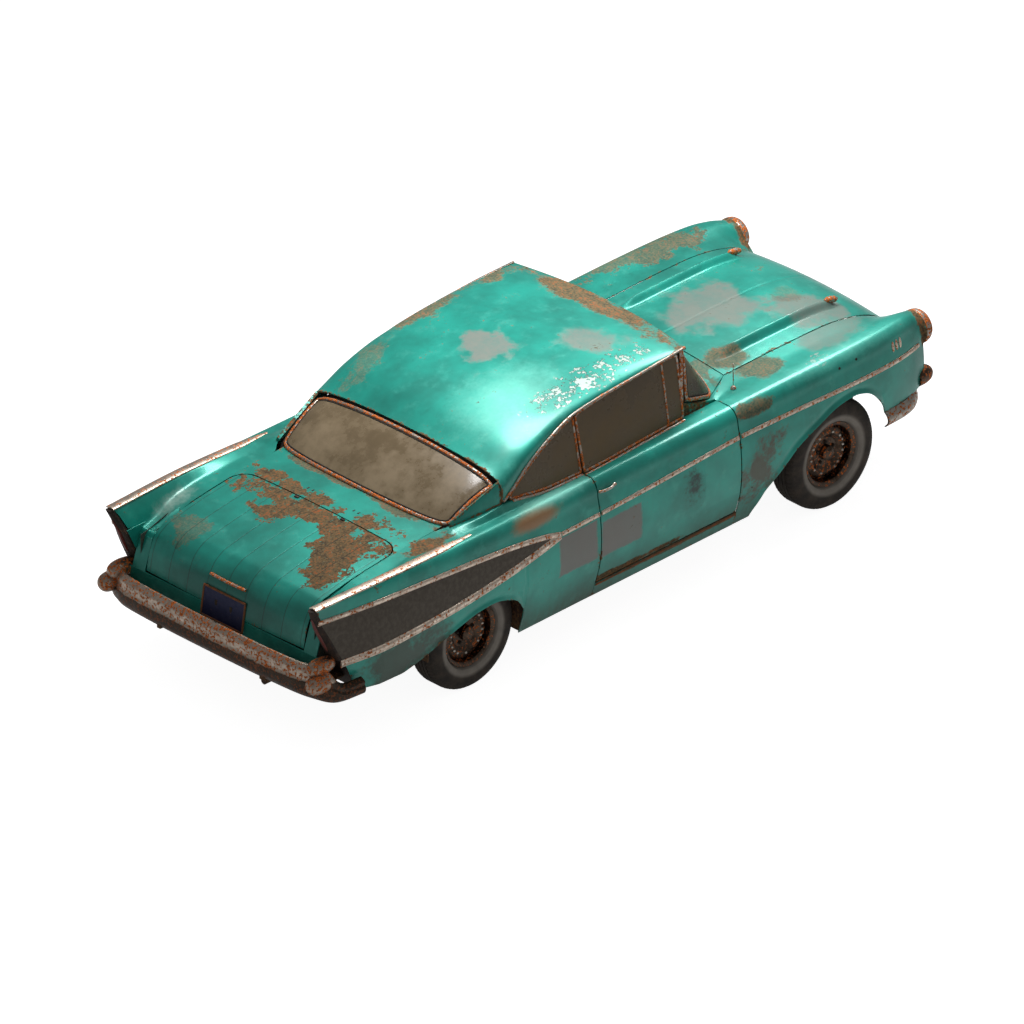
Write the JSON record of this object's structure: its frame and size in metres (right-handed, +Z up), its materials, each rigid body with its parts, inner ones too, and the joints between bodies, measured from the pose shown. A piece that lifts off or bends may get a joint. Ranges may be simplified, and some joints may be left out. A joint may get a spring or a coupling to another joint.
{
  "type": "rusty two-door hardtop car",
  "caption": "Weathered mid-century two-door hardtop car with tail fins, rusted teal paint, opening doors, hood and trunk lid, and steered wheels.",
  "frame": {"origin": "On the floor at the middle of the car's bounding box, the point halfway between the bumpers on the centre line.", "axes": "+X points to the front of the car, +Y to its left side, +Z up."},
  "size_m": [5.121, 1.8722, 1.482],
  "materials": {
    "paint": "weathered teal paint with rust and primer",
    "underbody": "rusty steel",
    "running_gear": "dirty iron",
    "trim": "pitted chrome",
    "glass": "dusty glass",
    "lamp": "dull lamp glass",
    "tail_lamp": "faded red lens in a rusty housing",
    "upholstery": "worn cloth",
    "interior": "dusty dark finish",
    "rubber": "dirty rubber",
    "rim": "rusty steel"
  },
  "bodies": {
    "root": {"chassis_frame": "underbody", "floor_pan": "underbody", "engine": "running_gear", "left_front_fender": "paint", "right_front_fender": "paint", "inner_fenders": "paint", "grille": "trim", "cowl": "paint", "roof": "paint", "left_quarter_panel": "paint", "right_quarter_panel": "paint", "rear_deck": "paint", "windshield": "glass", "rear_window": "glass", "quarter_glass": "glass", "front_bumper": "trim", "rear_bumper": "trim", "headlights": "lamp", "tail_lights": "tail_lamp", "front_seat": "upholstery", "rear_seat": "upholstery", "dashboard": "interior", "rear_axle": "running_gear", "leaf_springs": "running_gear", "driveshaft": "running_gear", "exhaust": "underbody", "fuel_tank": "underbody", "front_suspension": "running_gear"},
    "hood": {"hood": "paint"},
    "trunk_lid": {"trunk_lid": "paint"},
    "left_door": {"left_door": "paint", "left_door_glass": "glass"},
    "right_door": {"right_door": "paint", "right_door_glass": "glass"},
    "steering_wheel": {"steering_wheel": "interior"},
    "tie_rod": {"tie_rod": "running_gear"},
    "left_knuckle": {"left_knuckle": "running_gear"},
    "right_knuckle": {"right_knuckle": "running_gear"},
    "front_left_wheel": {"front_left_tyre": "rubber", "front_left_wheel": "rim"},
    "front_right_wheel": {"front_right_tyre": "rubber", "front_right_wheel": "rim"},
    "rear_left_wheel": {"rear_left_tyre": "rubber", "rear_left_wheel": "rim"},
    "rear_right_wheel": {"rear_right_tyre": "rubber", "rear_right_wheel": "rim"}
  },
  "joints": [
    {"name": "left_door_hinge", "type": "hinge", "parent": "root", "child": "left_door", "pos_m": [0.9665, 0.9028, 0.6], "axis": [0, 0, -1], "range_deg": [0, 65]},
    {"name": "right_door_hinge", "type": "hinge", "parent": "root", "child": "right_door", "pos_m": [0.9665, -0.9028, 0.6], "axis": [0, 0, 1], "range_deg": [0, 65]},
    {"name": "hood_hinge", "type": "hinge", "parent": "root", "child": "hood", "pos_m": [1.0045, 0, 1.01192], "axis": [0, -1, 0], "range_deg": [0, 50]},
    {"name": "trunk_lid_hinge", "type": "hinge", "parent": "root", "child": "trunk_lid", "pos_m": [-1.5135, 0, 0.99573], "axis": [0, 1, 0], "range_deg": [0, 70]},
    {"name": "steer_right", "type": "hinge", "parent": "root", "child": "right_knuckle", "pos_m": [1.7005, -0.7, 0.343], "axis": [0, 0, 1], "range_deg": [-32, 32]},
    {"name": "steer_left", "type": "hinge", "parent": "root", "child": "left_knuckle", "pos_m": [1.7005, 0.7, 0.343], "axis": [0, 0, 1], "range_deg": [-32, 32]},
    {"name": "steering_wheel_turn", "type": "hinge", "parent": "root", "child": "steering_wheel", "pos_m": [0.455, 0.37, 0.85], "axis": [-0.8829, 0, 0.4695], "range_deg": [-768, 768]},
    {"name": "tie_rod_slide", "type": "slide", "parent": "root", "child": "tie_rod", "axis": [0, -1, 0], "range_m": [-0.06, 0.06]},
    {"name": "front_left_wheel_spin", "type": "hinge", "parent": "left_knuckle", "child": "front_left_wheel", "pos_m": [1.7005, 0.74, 0.343], "axis": [0, 1, 0], "continuous": true},
    {"name": "front_right_wheel_spin", "type": "hinge", "parent": "right_knuckle", "child": "front_right_wheel", "pos_m": [1.7005, -0.74, 0.343], "axis": [0, 1, 0], "continuous": true},
    {"name": "rear_left_wheel_spin", "type": "hinge", "parent": "root", "child": "rear_left_wheel", "pos_m": [-1.2205, 0.74, 0.343], "axis": [0, 1, 0], "continuous": true},
    {"name": "rear_right_wheel_spin", "type": "hinge", "parent": "root", "child": "rear_right_wheel", "pos_m": [-1.2205, -0.74, 0.343], "axis": [0, 1, 0], "continuous": true}
  ],
  "couplings": [
    {"joint": "steer_left", "follows": "steer_right", "ratio": 1},
    {"joint": "steering_wheel_turn", "follows": "steer_right", "ratio": 24},
    {"joint": "tie_rod_slide", "follows": "steer_right", "m_per_rad": 0.10152}
  ]
}
